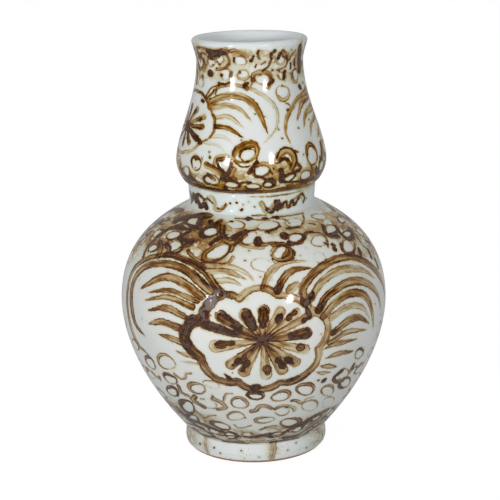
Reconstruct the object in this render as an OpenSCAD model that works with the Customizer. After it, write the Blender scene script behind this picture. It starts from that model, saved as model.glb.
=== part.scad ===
// Double gourd vase: a stoneware bottle of two bulbs with a plain collar between them.
// It is built up from thrown sections, each luted to the next with a thin ring of slip.
// Millimetres, +Z up, origin on the table under the middle of the foot.

/* [Foot] */
// Radius of the foot where the bowl rises from it
root_r = 68.5; // [50:0.5:90]
// Height of the foot ring, from the table to its joint with the bowl
foot_h = 20; // [12:1:34]
// How far the foot swells out past its top
foot_swell = 2; // [0.5:0.5:8]
// How far the bare clay edge that the vase stands on is drawn in from the top of the foot
foot_tuck = 3.5; // [0:0.5:8]
// Thickness of the foot ring at the table
foot_wall = 11; // [6:0.5:20]
// Width of the softened corners of the bare foot edge
foot_bevel = 1.2; // [0.4:0.1:2.5]

/* [Lower bulb] */
// Height of the widest part of the lower bulb
belly_z = 151; // [110:1:185]
// Radius of the lower bulb at its widest
belly_r = 130; // [100:1:165]
// How round the bowl is: 1 is a straight cone, 2 is full and round
bowl_curve = 1.86; // [1.3:0.02:2.6]
// How flat the shoulder lies near the belly: 0 is evenly round, 1 turns in late
shoulder_turn = 0.44; // [0:0.02:1]
// Thickness of the floor inside the bowl
floor_t = 9; // [6:0.5:18]
// How far the flat of the floor stops short of the root of the bowl
floor_inset = 6.5; // [5:0.5:20]

/* [Collar] */
// Height of the foot of the collar above the table
collar_z = 246; // [225:1:260]
// Height of the collar itself
collar_h = 20.5; // [12:0.5:40]
// Radius of the collar at its foot
collar_r = 60; // [50:0.5:75]
// How far the collar opens out from its foot to its top
collar_flare = 1.7; // [0:0.1:4]
// How far the shoulder reaches out past the foot of the collar
shoulder_reach = 2.5; // [0.5:0.5:8]
// Height of the hollow curve where the collar rises from the shoulder
collar_fillet = 5.5; // [2:0.5:9]
// Depth of the groove between the collar and the upper bulb
groove = 1; // [0:0.1:2]

/* [Upper bulb and neck] */
// How far the underside of the upper bulb overhangs the collar
bulb_overhang = 1.3; // [0:0.1:5]
// Height of the widest part of the upper bulb above the collar
bulb_rise = 21.5; // [14:0.5:40]
// Radius of the upper bulb at its widest
bulb_r = 72.5; // [69:0.5:95]
// Height of the narrowest part of the neck above the widest part of the upper bulb
neck_rise = 97.5; // [70:0.5:140]
// Radius of the neck at its narrowest
neck_r = 50.6; // [40:0.1:60]
// How early the upper bulb draws in: below 1 is early, above 1 is late
neck_curve = 0.85; // [0.7:0.01:1.2]
// Height of the joint between the upper bulb and the neck, above the widest part of the bulb
neck_joint = 62; // [30:1:66]

/* [Mouth] */
// Height of the flared mouth above the narrowest part of the neck
mouth_rise = 16.5; // [8:0.5:40]
// Radius of the mouth over the lip
mouth_r = 55; // [48:0.5:72]
// Thickness of the rounded lip
lip_t = 8; // [7:0.5:12]

/* [Walls and joints] */
// Thickness of the thrown wall
wall = 7; // [4:0.5:10]
// Thickness of the slip between two sections
slip_t = 1.4; // [0.6:0.1:2.5]
// Height by which a joint slopes up from the outside to the inside of the wall
joint_slope = 5; // [2:0.5:8]

/* [Smoothness] */
// Number of steps around the vase
around = 120; // [48:12:180]
// Height of one step of a curve
step = 3.2; // [2:0.2:8]

/* [Hidden] */
$fn = around;

glaze_white = "#d9dfdb";
glaze_celadon = "#c6d3d0";
slip_clay = "#cbb79c";

// Heights above the table, from the foot up
base_z = foot_h + slip_t;
floor_z = base_z + floor_t;
collar_top_z = collar_z + collar_h;
bulb_z = collar_top_z + bulb_rise;
neck_joint_z = bulb_z + neck_joint;
neck_z = bulb_z + neck_rise;
lip_z = neck_z + mouth_rise;

// Radii of the outside that follow from others
foot_edge_r = root_r - foot_tuck;
foot_swell_r = root_r + foot_swell;
shoulder_top_r = collar_r + shoulder_reach;
collar_top_r = collar_r + collar_flare;
bulb_root_r = collar_top_r + bulb_overhang;

// Radii of the hollow inside
recess_r = foot_edge_r - foot_wall;
floor_r = root_r - floor_inset;
belly_in_r = belly_r - wall;
waist_in_r = collar_r - wall;
bulb_in_r = bulb_r - wall;
neck_in_r = neck_r - wall;
mouth_in_r = mouth_r - lip_t;

// Heights between which the hollow runs straight through the waist, past both of its joints
shoulder_in_z = collar_z - wall / 4;
bulb_in_z = collar_top_z + joint_slope;

// A share of the way from one height to another
function share(z, from, to) = (z - from) / (to - from);

// The four curves that the walls are thrown to, each as a radius at a height
function bowl(z, low, high, root, belly) =
    belly - (belly - root) * pow(share(z, high, low), bowl_curve);
function shoulder(z, low, high, belly, top) =
    let (t = share(z, low, high))
    belly - (belly - top) * ((1 - shoulder_turn) * pow(t, 2) + shoulder_turn * pow(t, 4));
function draw_in(z, low, high, bulb, neck) =
    neck + (bulb - neck) * (1 + cos(180 * pow(share(z, low, high), neck_curve))) / 2;
function flare(z, low, high, neck, mouth) =
    neck + (mouth - neck) * pow(share(z, low, high), 1.2);

// The collar is a plain band that widens a little upwards, with a hollow curve at its foot
function collar_band(z) = collar_r + (collar_top_r - collar_r) * share(z, collar_z, collar_top_z);
function collar_foot(z) =
    (shoulder_top_r - collar_r) * pow(max(0, 1 - share(z, collar_z, collar_z + collar_fillet)), 2);

// Radius of the outside at a height, above the foot
function outside(z) =
    z <= belly_z ? bowl(z, foot_h, belly_z, root_r, belly_r) :
    z <= collar_z ? shoulder(z, belly_z, collar_z, belly_r, shoulder_top_r) :
    z <= collar_top_z ? collar_band(z) + collar_foot(z) :
    z <= bulb_z ? bowl(z, collar_top_z, bulb_z, bulb_root_r, bulb_r) :
    z <= neck_z ? draw_in(z, bulb_z, neck_z, bulb_r, neck_r) :
    flare(z, neck_z, lip_z, neck_r, mouth_r);

// Radius of the hollow at a height, above the floor
function inside(z) =
    z <= belly_z ? bowl(z, floor_z, belly_z, floor_r, belly_in_r) :
    z <= shoulder_in_z ? shoulder(z, belly_z, shoulder_in_z, belly_in_r, waist_in_r) :
    z <= bulb_in_z ? waist_in_r :
    z <= bulb_z ? bowl(z, bulb_in_z, bulb_z, waist_in_r, bulb_in_r) :
    z <= neck_z ? draw_in(z, bulb_z, neck_z, bulb_in_r, neck_in_r) :
    flare(z, neck_z, lip_z, neck_in_r, mouth_in_r);

// Heights in even steps from one to another, with both ends
function heights(from, to) =
    let (count = max(1, ceil((to - from) / step)))
    [for (i = [0 : count]) from + (to - from) * i / count];
function reversed(list) = [for (i = [len(list) - 1 : -1 : 0]) list[i]];

function outside_points(from, to) = [for (z = heights(from, to)) [outside(z), z]];
function inside_points(from, to) = [for (z = heights(from, to)) [inside(z), z]];

// The wall between two joints: both ends slope up inwards, so a section seats on the one below
module wall_ring(from, to) {
    rotate_extrude()
        polygon(concat(outside_points(from, to),
                       reversed(inside_points(from + joint_slope, to + joint_slope))));
}

// The point of a joint's slope at a depth under the outside; the joint starts at height z there
function joint_point(z, depth) =
    let (outer = [outside(z), z], inner = [inside(z + joint_slope), z + joint_slope])
    outer + (inner - outer) * depth / (outer[0] - inner[0]);

// A thin ring of slip in the joint at a height, sunk by a groove where the joint shows
module slip_ring(z, sunk = 0) {
    rotate_extrude()
        polygon([joint_point(z, sunk), joint_point(z + slip_t, sunk),
                 [inside(z + slip_t + joint_slope), z + slip_t + joint_slope],
                 [inside(z + joint_slope), z + joint_slope]]);
}

// The foot swells from its bare edge and draws in again to the root of the bowl
swell_z = foot_h * 0.45;
function foot_outside(z) =
    z < swell_z ? foot_swell_r - (foot_swell_r - foot_edge_r) * pow(share(z, swell_z, 0), 3) :
    foot_swell_r - (foot_swell_r - root_r) * pow(share(z, swell_z, foot_h), 2);

module foot_ring() {
    color(glaze_white)
        rotate_extrude()
            polygon(concat([[recess_r + foot_bevel, 0], [foot_edge_r - foot_bevel, 0]],
                           [for (z = heights(foot_bevel, foot_h)) [foot_outside(z), z]],
                           [[recess_r, foot_h], [recess_r, foot_bevel]]));
}

module slip_seam_foot() {
    color(slip_clay)
        rotate_extrude()
            polygon([[recess_r, foot_h], [root_r, foot_h], [outside(base_z), base_z],
                     [recess_r, base_z]]);
}

// The bowl is closed below by the floor, which spans the foot ring
module lower_bowl() {
    color(glaze_white)
        rotate_extrude()
            polygon(concat([[0, base_z]],
                           outside_points(base_z, belly_z),
                           reversed(inside_points(floor_z, belly_z + joint_slope)),
                           [[0, floor_z - floor_t / 6]]));
}

module slip_seam_belly() {
    color(slip_clay)
        slip_ring(belly_z);
}

module lower_shoulder() {
    color(glaze_white)
        wall_ring(belly_z + slip_t, collar_z - slip_t);
}

module slip_seam_collar_foot() {
    color(slip_clay)
        slip_ring(collar_z - slip_t);
}

module waist_collar() {
    color(glaze_celadon)
        wall_ring(collar_z, collar_top_z - slip_t);
}

module slip_seam_collar_top() {
    color(slip_clay)
        slip_ring(collar_top_z - slip_t, groove);
}

module upper_bulb() {
    color(glaze_white)
        wall_ring(collar_top_z, neck_joint_z);
}

module slip_seam_neck() {
    color(slip_clay)
        slip_ring(neck_joint_z);
}

// The neck opens into the mouth and ends in a lip that is rounded over
module mouth_neck() {
    from = neck_joint_z + slip_t;
    color(glaze_white)
        rotate_extrude()
            polygon(concat(outside_points(from, lip_z),
                           [for (a = [15 : 15 : 165])
                               [mouth_r - lip_t / 2 + lip_t / 2 * cos(a), lip_z + lip_t / 2 * sin(a)]],
                           reversed(inside_points(from + joint_slope, lip_z))));
}

foot_ring();
slip_seam_foot();
lower_bowl();
slip_seam_belly();
lower_shoulder();
slip_seam_collar_foot();
waist_collar();
slip_seam_collar_top();
upper_bulb();
slip_seam_neck();
mouth_neck();
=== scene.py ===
# %% [markdown]
# # A double gourd vase, thrown, luted, painted and glazed
# The vase is a tall lower bulb, a narrow collar and a smaller upper bulb that
# draws in to a flared mouth. It was thrown in sections, joined with slip, brushed
# with iron brown and covered with a clear, faintly green glaze. The solids come
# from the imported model, already in their places and in metres. This script gives
# them their glazed skin, and everything it needs to know about sizes is measured
# from them.

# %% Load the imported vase
import math

import bpy
import numpy as np
from mathutils import Matrix, Vector
from mathutils.bvhtree import BVHTree


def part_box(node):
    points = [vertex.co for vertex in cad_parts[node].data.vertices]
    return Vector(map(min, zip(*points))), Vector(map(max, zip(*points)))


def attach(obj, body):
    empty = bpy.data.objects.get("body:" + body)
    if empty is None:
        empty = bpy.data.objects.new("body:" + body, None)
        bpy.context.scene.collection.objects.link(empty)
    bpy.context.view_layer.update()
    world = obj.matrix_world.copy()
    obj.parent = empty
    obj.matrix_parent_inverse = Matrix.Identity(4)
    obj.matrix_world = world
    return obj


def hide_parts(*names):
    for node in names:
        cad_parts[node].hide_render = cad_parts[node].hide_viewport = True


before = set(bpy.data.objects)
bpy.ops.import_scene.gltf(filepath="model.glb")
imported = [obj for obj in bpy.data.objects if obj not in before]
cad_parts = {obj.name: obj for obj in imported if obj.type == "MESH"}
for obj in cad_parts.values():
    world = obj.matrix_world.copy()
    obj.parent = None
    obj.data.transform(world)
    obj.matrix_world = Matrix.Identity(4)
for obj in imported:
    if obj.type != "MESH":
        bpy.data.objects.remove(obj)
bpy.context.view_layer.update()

MM = 0.001

# %% [markdown]
# ## Reading the section from the solids
# Every sub-part is a solid of revolution, so its rings of points give the section
# of the vase exactly. A point belongs to the outside if a level ray from it,
# going away from the axis, meets no clay. It belongs to the hollow if a level ray
# towards the axis meets none. Measuring is better than typing the curve again,
# because the skin then follows the solids whatever their sizes are.

# %% Gather the rings of points
rings, corners, faces = [], [], []
for name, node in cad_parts.items():
    mesh = node.data
    co = np.empty(len(mesh.vertices) * 3)
    mesh.vertices.foreach_get("co", co)
    co = co.reshape(-1, 3)
    start = sum(len(block) for block in corners)
    corners.append(co)
    faces += [tuple(start + i for i in face.vertices) for face in mesh.polygons]
    rings.append(np.stack([np.hypot(co[:, 0], co[:, 1]), co[:, 2]], 1))
clay = BVHTree.FromPolygons([tuple(p) for p in np.concatenate(corners)], faces)
rings = np.unique(np.round(np.concatenate(rings) / MM, 2), axis=0)
print(len(rings), "rings of points on", len(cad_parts), "solids")

# %% Sort them into outside and hollow
NUDGE = 0.06            # mm, so that a ray doesn't meet the face it starts on
ASKEW = math.radians(1.3)       # so that a ray doesn't run along an edge of the facets
POLE = 1                # mm from the axis, where there is no wall


def meets_clay(radius, height, way):
    """True if a level ray from this ring meets a wall, outwards (1) or inwards (-1)."""
    reach = 1.0 if way > 0 else max(radius - NUDGE, 0.0) * MM      # metres
    out = Vector((math.cos(ASKEW), math.sin(ASKEW), 0))
    start = out * ((radius + way * NUDGE) * MM) + Vector((0, 0, height * MM))
    return clay.ray_cast(start, out * way, reach)[0] is not None


outside, inside = (np.array([p for p in rings if p[0] > POLE and not meets_clay(*p, way)])
                   for way in (1, -1))
print(len(outside), "outside rings,", len(inside), "rings round the hollows")

# %% [markdown]
# ## The glazed section
# Glaze is about half a millimetre thick and flows a little in the kiln, so it
# rounds every edge of the clay and hides the facets of the section. The curve is
# drawn with close points and softened: widely along the smooth walls, narrowly
# beside the real corners, which are the foot, the collar, its groove and the lip.

# %% Draw it from the foot, over the lip and down to the floor
FINE = 0.2              # mm between points of the drawn curve
TURN = 12               # degrees of turn that make a corner
BROAD, TIGHT = 1.7, 0.4         # mm, how far the softening reaches
BESIDE = 3.0            # mm, how far from a corner the narrow softening holds
SAME = 0.1              # mm, points nearer than this are one


def draw(points):
    """Points every FINE mm along a polyline."""
    keep = [points[0]] + [b for a, b in zip(points, points[1:]) if np.hypot(*(b - a)) > SAME / 2]
    keep = np.array(keep)
    length = np.concatenate([[0], np.cumsum(np.hypot(*np.diff(keep, axis=0).T))])
    at = np.linspace(0, length[-1], int(length[-1] / FINE) + 1)
    fine = np.stack([np.interp(at, length, keep[:, k]) for k in (0, 1)], 1)
    ways = np.degrees(np.arctan2(*np.diff(keep, axis=0).T))
    turns = np.abs((np.diff(ways) + 180) % 360 - 180)
    return fine, at, length[1:-1][turns > TURN]


def soften(curve, reach):
    """The curve under a rounding as wide as reach, its two ends held."""
    half = int(3 * reach / FINE)
    weight = np.exp(-0.5 * (np.arange(-half, half + 1) * FINE / reach) ** 2)
    weight /= weight.sum()
    before = 2 * curve[0] - curve[half:0:-1]
    after = 2 * curve[-1] - curve[-2:-half - 2:-1]
    long = np.concatenate([before, curve, after])
    return np.stack([np.convolve(long[:, k], weight, "valid") for k in (0, 1)], 1)


outside = outside[np.argsort(outside[:, 1])]
lip = outside[-1]
floor = 26              # mm up, a height between the floor of the pot and the hollow of its foot
hollow = np.array([p for p in inside if p[1] > floor and p[1] < lip[1]
                   and not (np.hypot(*(outside - p).T) < SAME).any()])
hollow = hollow[np.lexsort((hollow[:, 0], hollow[:, 1]))]
FLOOR_Z = hollow[0, 1] - (hollow[1, 1] - hollow[0, 1])
wall, along, edges = draw(np.concatenate([outside, hollow[::-1], [(0.0, FLOOR_Z)]]))
beside = np.exp(-(np.abs(along[:, None] - edges).min(1) / BESIDE) ** 2)[:, None]
wall = (1 - beside) * soften(wall, BROAD) + beside * soften(wall, TIGHT)
wall[:, 0] = np.minimum(wall[:, 0], outside[:, 0].max())
way = np.gradient(wall, axis=0)
way /= np.hypot(*way.T)[:, None]
facing = np.stack([way[:, 1], -way[:, 0]], 1)       # away from the clay, (out, up)
LIP = int(np.argmax(wall[:, 1]))
recess = inside[(inside[:, 1] < floor) & (inside[:, 0] < outside[0, 0])]
RECESS_R, BASE_Z = recess[:, 0].min(), recess[:, 1].max()
print(f"{len(edges)} corners, lip at {wall[LIP].round(1)}, foot hollow {RECESS_R} x {BASE_Z} mm")


# %% Look up the outside by height
def radius_at(height):
    """Outside radius in mm at a height in mm."""
    return np.interp(height, wall[:LIP + 1, 1], wall[:LIP + 1, 0])


def on_glaze(degrees, height):
    """Points on the outside, in mm: degrees go to the right from the front."""
    turn, height = np.radians(degrees), np.asarray(height, float)
    r = radius_at(height)
    return np.stack([r * np.sin(turn), -r * np.cos(turn), height + 0 * r], -1)


print("radius at the belly, collar and bulb:", radius_at([151, 256, 288]).round(1), "mm")

# %% [markdown]
# ## Turning the sections
# A potter makes a round wall by turning; here Geometry Nodes does. The tree takes
# a section, which is a row of points, and a number of steps, makes a grid with one
# column for each step, and bends it round the axis. The last column lands on the
# first, and points on the axis land on each other, so merging them closes the
# wall and its poles.

# %% Nodes, for every tree in this script
def join(tree, socket, value):
    """Links an output to a socket, or sets the socket to a number, a colour or a thing."""
    value = getattr(value, "socket", value)
    if isinstance(value, bpy.types.NodeSocket):
        tree.links.new(value, socket)
    elif socket.type == "RGBA":
        socket.default_value = (*value, 1)
    else:
        socket.default_value = value


def add_node(tree, kind, links=None, **settings):
    """A new node: its settings first, then the values or links of its sockets."""
    fresh = tree.nodes.new(kind)
    for key, value in settings.items():
        setattr(fresh, key, value)
    for key, value in (links or {}).items():
        join(tree, fresh.inputs[key], value)
    return fresh


# %% The turning tree
TOUCHING = 0.000002     # metres: points nearer than this are merged


def turning_tree():
    """Geometry Nodes: a closed wall turned from a section."""
    tree = bpy.data.node_groups.new("turn on the wheel", "GeometryNodeTree")
    tree.interface.new_socket("Geometry", in_out="OUTPUT", socket_type="NodeSocketGeometry")
    for name, kind in (("Section", "Object"), ("Steps", "Int"), ("Finish", "Material")):
        tree.interface.new_socket(name, in_out="INPUT", socket_type="NodeSocket" + kind)

    def node(kind, links=None, **settings):
        return add_node(tree, kind, links, **settings)

    def maths(operation, a, b=0.0):
        return node("ShaderNodeMath", {0: a, 1: b}, operation=operation).outputs[0]

    given = node("NodeGroupInput").outputs
    section = node("GeometryNodeObjectInfo", {"Object": given["Section"]}).outputs["Geometry"]
    rows = node("GeometryNodeAttributeDomainSize", {"Geometry": section},
                component="MESH").outputs["Point Count"]
    grid = node("GeometryNodeMeshGrid", {"Vertices X": maths("ADD", given["Steps"], 1), "Vertices Y": rows})
    index = node("GeometryNodeInputIndex").outputs[0]
    step = maths("FLOOR", maths("DIVIDE", maths("ADD", index, 0.5), rows))
    row = maths("FLOORED_MODULO", index, rows)
    place = node("GeometryNodeInputPosition").outputs[0]
    point = node("GeometryNodeSampleIndex", {"Geometry": section, "Value": place, "Index": row},
                 data_type="FLOAT_VECTOR").outputs["Value"]
    apart = node("ShaderNodeSeparateXYZ", {0: point}).outputs
    turn = maths("MULTIPLY", maths("DIVIDE", step, given["Steps"]), 2 * math.pi)
    spot = node("ShaderNodeCombineXYZ", {
        0: maths("MULTIPLY", apart[0], maths("SINE", turn)),
        1: maths("MULTIPLY", apart[0], maths("COSINE", turn)), 2: apart[2]}).outputs[0]
    bent = node("GeometryNodeSetPosition", {"Geometry": grid.outputs["Mesh"], "Position": spot}).outputs[0]
    closed = node("GeometryNodeMergeByDistance", {"Geometry": bent, "Distance": TOUCHING}).outputs[0]
    smooth = node("GeometryNodeSetShadeSmooth", {"Geometry": closed}).outputs[0]
    real = node("GeometryNodeRealizeInstances", {"Geometry": smooth}).outputs[0]
    glazed = node("GeometryNodeSetMaterial", {"Geometry": real, "Material": given["Finish"]}).outputs[0]
    tree.links.new(glazed, node("NodeGroupOutput").inputs[0])
    return tree


TURNING = turning_tree()
print("turning tree:", len(TURNING.nodes), "nodes")

# %% Cut the section into the thrown pieces
JOINT_RISE = 5          # mm, how much higher a joint lies inside than outside
ROW, ROW_AT_EDGE, ROW_INSIDE = 1.15, 0.45, 8      # mm between rows of faces


def run(start, stop, gap):
    """Numbers of the wall's points from start to stop, about gap mm apart."""
    picked, last, step = [start], start, 1 if stop > start else -1
    for k in range(start, stop, step):
        apart = abs(k - last) * FINE
        if apart >= gap - (gap - min(gap, ROW_AT_EDGE)) * beside[k, 0]:
            picked.append(k)
            last = k
    return picked + [stop]


def outer_point(height):
    """The number of the outside wall's point at this height; inner_point tells it for the hollow."""
    return int(np.argmin(np.abs(wall[:LIP + 1, 1] - height)))


def inner_point(height):
    return LIP + int(np.argmin(np.abs(wall[LIP:, 1] - height)))


def section(low, high, gap=ROW):
    """The closed section of a piece between two joints, in mm; None for an end of the pot."""
    up = run(outer_point(low), LIP if high is None else outer_point(high), gap)
    top = LIP if high is None else inner_point(high + JOINT_RISE)
    if low == BOWL_FROM:
        down = run(top, len(wall) - 1, ROW_INSIDE)
        base = [(0.0, BASE_Z), (RECESS_R * 0.5, BASE_Z), (RECESS_R, BASE_Z), (RECESS_R, low)]
        return np.concatenate([base, wall[up], wall[down]])
    down = run(top, inner_point(low + JOINT_RISE), ROW_INSIDE)
    return np.concatenate([wall[up], wall[down[1:] if high is None else down], wall[up[:1]]])


def top_of(node):
    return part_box(node)[1][2] / MM


BOWL_FROM = round(top_of("foot_ring"), 3)
BELLY = 151.7           # mm, inside the slip of the belly joint
COLLAR = round(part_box("waist_collar")[0][2] / MM, 3)
BULB = 266.4            # mm, the lip of the groove over the collar
NECK = 350.7            # mm, inside the slip of the neck joint
BEVEL = 1.2             # mm, the inner edge of the foot
foot_section = np.concatenate([
    [(RECESS_R, BOWL_FROM), (RECESS_R, BOWL_FROM / 2), (RECESS_R, BEVEL), (RECESS_R + BEVEL, 0.0)],
    wall[run(0, outer_point(BOWL_FROM), ROW)], [(RECESS_R, BOWL_FROM)]])
print("joints at", BOWL_FROM, BELLY, COLLAR, BULB, NECK)


# %% Turn each piece
def turned(name, points, steps):
    """A plain mesh turned from a section of points in mm."""
    row = bpy.data.meshes.new(name + "_section")
    row.from_pydata([(r * MM, 0, z * MM) for r, z in points], [], [])
    section_object = bpy.data.objects.new(name + "_section", row)
    wheel = bpy.data.objects.new(name + "_wheel", bpy.data.meshes.new(name + "_wheel"))
    bpy.context.collection.objects.link(wheel)
    turning = wheel.modifiers.new("turn", "NODES")
    turning.node_group = TURNING
    keys = {item.name: item.identifier for item in TURNING.interface.items_tree
            if item.item_type == "SOCKET" and item.in_out == "INPUT"}
    turning[keys["Section"]] = section_object
    turning[keys["Steps"]] = steps
    ready = wheel.evaluated_get(bpy.context.evaluated_depsgraph_get())
    mesh = bpy.data.meshes.new_from_object(ready)
    mesh.name = name
    for spent in (wheel, section_object):
        bpy.data.objects.remove(spent)
    co = np.empty(len(mesh.vertices) * 3, np.float32)
    mesh.vertices.foreach_get("co", co)
    co = co.reshape(-1, 3) / MM
    mesh.calc_loop_triangles()
    tri = np.empty(len(mesh.loop_triangles) * 3, np.int32)
    mesh.loop_triangles.foreach_get("vertices", tri)
    a, b, c = co[tri.reshape(-1, 3)].transpose(1, 0, 2)
    if np.einsum("ij,ij->i", a, np.cross(b, c)).sum() < 0:
        mesh.flip_normals()
    piece = bpy.data.objects.new(name, mesh)
    bpy.context.collection.objects.link(piece)
    print(f"{name}: {len(points)} rows x {steps} steps, {len(tri) // 3} triangles")
    return piece, co.astype(float)


made = {name: turned(name, points, steps) for name, points, steps in (
    ("foot", foot_section, 440), ("bowl", section(BOWL_FROM, BELLY), 620),
    ("shoulder", section(BELLY, COLLAR), 700), ("collar", section(COLLAR, BULB, 0.8), 480),
    ("bulb", section(BULB, NECK, 0.8), 560), ("neck", section(NECK, None, 0.85), 420))}


# %% Smooth shading that runs on from piece to piece
AT_ONCE = 4000          # points looked up in one step, to spare memory
ON_WALL = 0.05          # mm, how near the wall a point of the skin lies


def profile_of(co):
    """For points in mm: the nearest point of the section and whether it is on it."""
    r, z = np.hypot(co[:, 0], co[:, 1]), co[:, 2]
    near = np.empty(len(co), int)
    for part in np.array_split(np.arange(len(co)), max(1, len(co) // AT_ONCE)):
        near[part] = np.argmin((r[part, None] - wall[:, 0]) ** 2 + (z[part, None] - wall[:, 1]) ** 2, 1)
    return near, np.hypot(r - wall[near, 0], z - wall[near, 1]) < ON_WALL


def shade(piece, co):
    """Gives the skin the section's own normals; the edges inside the joints keep theirs."""
    near, on = profile_of(co)
    turn = np.arctan2(co[:, 0], -co[:, 1])
    out, up = facing[near].T
    normals = np.stack([out * np.sin(turn), -out * np.cos(turn), up], 1)
    normals[~on | (np.hypot(co[:, 0], co[:, 1]) < POLE / 2)] = 0
    piece.data.normals_split_custom_set_from_vertices(normals)
    return near, on


kept = {}
for name, (piece, co) in made.items():
    near, on = shade(piece, co)
    kept[name] = on & (near <= LIP)
print({name: int(k.sum()) for name, k in kept.items()}, "points to paint")

# %% [markdown]
# ## Painting with iron brown
# The painter works fast with a full round brush: rings, commas and long arcs. The
# iron runs to the edges of each stroke and dries darker there. A stroke here is a
# smooth line on the glaze with a width and a load of pigment along it. For every
# point of the skin it gives how far inside the stroke the point lies, how far
# across and along it, and the load. The material makes the edges, streaks and
# colours from those four numbers, so the mesh needs no finer grid than a stroke's
# width. Three coats keep strokes that cross apart.

# %% The skin as one long list of points
COATS, FAR = 3, 3.0     # coats of strokes; mm kept outside a stroke
painted = np.concatenate([kept[name] for name in made])
spot = np.flatnonzero(painted)
skin = np.concatenate([co for piece, co in made.values()])[spot]
normal = skin * [1, 1, 0] / np.hypot(skin[:, 0], skin[:, 1])[:, None]
degrees = np.degrees(np.arctan2(skin[:, 0], -skin[:, 1]))
height = skin[:, 2]
inset = np.full((COATS, len(skin)), -FAR)
across, run_of, load_of = np.zeros((3, COATS, len(skin)))
print(len(skin), "points to paint on")

# %% A brush stroke
STEP, FINE_STEP = 1.6, 0.8      # mm between the points of a long stroke and of a dab
BETWEEN = 12            # steps from one typed point of a stroke to the next
PAIRS = 400000          # pairs of points and steps measured at once, to spare memory
strokes = 0


def smooth_line(points, gap=STEP):
    """A smooth curve on the glaze through (degrees, mm) points, as points in mm."""
    p = np.array(points, float)
    if len(p) > 2:
        ends = np.concatenate([[2 * p[0] - p[1]], p, [2 * p[-1] - p[-2]]])
        t = np.linspace(0, 1, BETWEEN, endpoint=False)[:, None]
        p = np.concatenate([
            0.5 * (2 * b + (c - a) * t + (2 * a - 5 * b + 4 * c - d) * t ** 2
                   + (3 * b - a - 3 * c + d) * t ** 3)
            for a, b, c, d in zip(ends, ends[1:], ends[2:], ends[3:])] + [p[-1:]])
    dense = on_glaze(p[:, 0], p[:, 1])
    length = np.concatenate([[0], np.cumsum(np.linalg.norm(np.diff(dense, axis=0), axis=1))])
    at = np.linspace(0, length[-1], max(2, int(length[-1] / gap) + 1))
    angle, up = (np.interp(at, length, p[:, k]) for k in (0, 1))
    return on_glaze(angle, up), at


def brush(line, at, wide, load, coat):
    """Lays one stroke: wide, in mm, and load, 0 to 1.2, are one number or one for each point."""
    global strokes
    strokes += 1
    half = np.broadcast_to(np.asarray(wide, float) / 2, at.shape)
    load = np.broadcast_to(np.asarray(load, float), at.shape)
    reach = half.max() + FAR
    near = np.flatnonzero(((skin > line.min(0) - reach) & (skin < line.max(0) + reach)).all(1))
    if not len(near):
        return
    a, step = line[:-1], np.diff(line, axis=0)
    long = np.maximum((step ** 2).sum(1), 1e-9)
    for part in np.array_split(near, len(near) * len(a) // PAIRS + 1):
        v = skin[part, None] - a
        t = np.clip((v * step).sum(2) / long, 0, 1)
        off = v - t[..., None] * step
        far = np.sqrt((off ** 2).sum(2))
        deep = half[:-1] + t * np.diff(half) - far
        k = deep.argmax(1)
        i = np.arange(len(part))
        deep, t, far = deep[i, k], t[i, k], far[i, k]
        side = np.sign((np.cross(normal[part], step[k]) * off[i, k]).sum(1))
        win = deep > inset[coat, part]
        won = part[win]
        inset[coat, won] = deep[win]
        across[coat, won] = (side * far)[win]
        run_of[coat, won] = (at[:-1][k] + t * np.sqrt(long[k]))[win]
        load_of[coat, won] = (load[:-1][k] + t * np.diff(load)[k])[win]


# %% The strokes the painter knows
TAPER = 0.6             # below 1, so a stroke stays full until near its point
SWAY = 0.07             # how much the width of a long stroke changes
RUN_OUT = 0.85          # load left at the end
START_FADES = 0.42      # the share of a stroke that its start tints
OVAL, EGG = 0.07, 0.05          # how far a ring strays from round
THIN_SIDE, FAT_SIDE = 0.42, 0.68        # width of a ring's thin side, and what its fat side adds
THIN_LOAD, FAT_LOAD = 0.75, 0.40        # the same for its load
OVER_WHITE = 0.35       # how far a ring's stroke reaches over its white middle, in widths
TOUCH, TOUCH_SWAY = 0.8, 0.25           # width of a touch, and how much it changes
TIP, START = (0.55, 32), (0.45, 30)     # a point's length: at most this share of the stroke and mm
dice = np.random.default_rng(7)
turned_by = 0.0         # degrees, how far round the vase the painter has turned it
loose = 0.0             # mm, how far the second painting of a motif strays
holes = []              # white middles of the rings: (degrees, mm, half across, half up, tilt)
washes = []             # (degrees, mm, half width mm, half height mm, strength)


def steep_at(z):
    """Millimetres along the wall for one millimetre up."""
    return np.hypot(radius_at(z + 1) - radius_at(z - 1), 2) / 2


def stray(points):
    """The points turned to this side of the vase, each moved a little."""
    p = np.array(points, float)
    drift = dice.normal(0, loose + 1e-9, p.shape)
    return p + drift * [0.5, 1.0] + [turned_by, 0]


def waver(low, high):
    """The pace and the start of a slow change along a stroke."""
    return dice.uniform(low, high), dice.uniform(0, 6)


def arc_stroke(points, wide, load, coat, start="round", tip="sharp", end_load=None, start_load=None):
    """A long stroke. Its ends are round or sharp, and its load runs out along it."""
    line, at = smooth_line(stray(points))
    t = at / at[-1]
    shape = np.ones_like(t)
    for end, way, (share, mm) in ((tip, 1 - t, TIP), (start, t, START)):
        if end == "sharp":
            shape *= np.clip(way / min(share, mm / at[-1]), 0, 1) ** TAPER
    pace, first_sway = waver(5, 11)
    sway = 1 + SWAY * np.sin(t * pace + first_sway)
    last = load * RUN_OUT if end_load is None else end_load
    first = load if start_load is None else start_load
    shade = load + (last - load) * t ** 2 + (first - load) * np.clip(1 - t / START_FADES, 0, 1) ** 1.2
    brush(line, at, wide * shape * sway, shade, coat)


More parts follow.
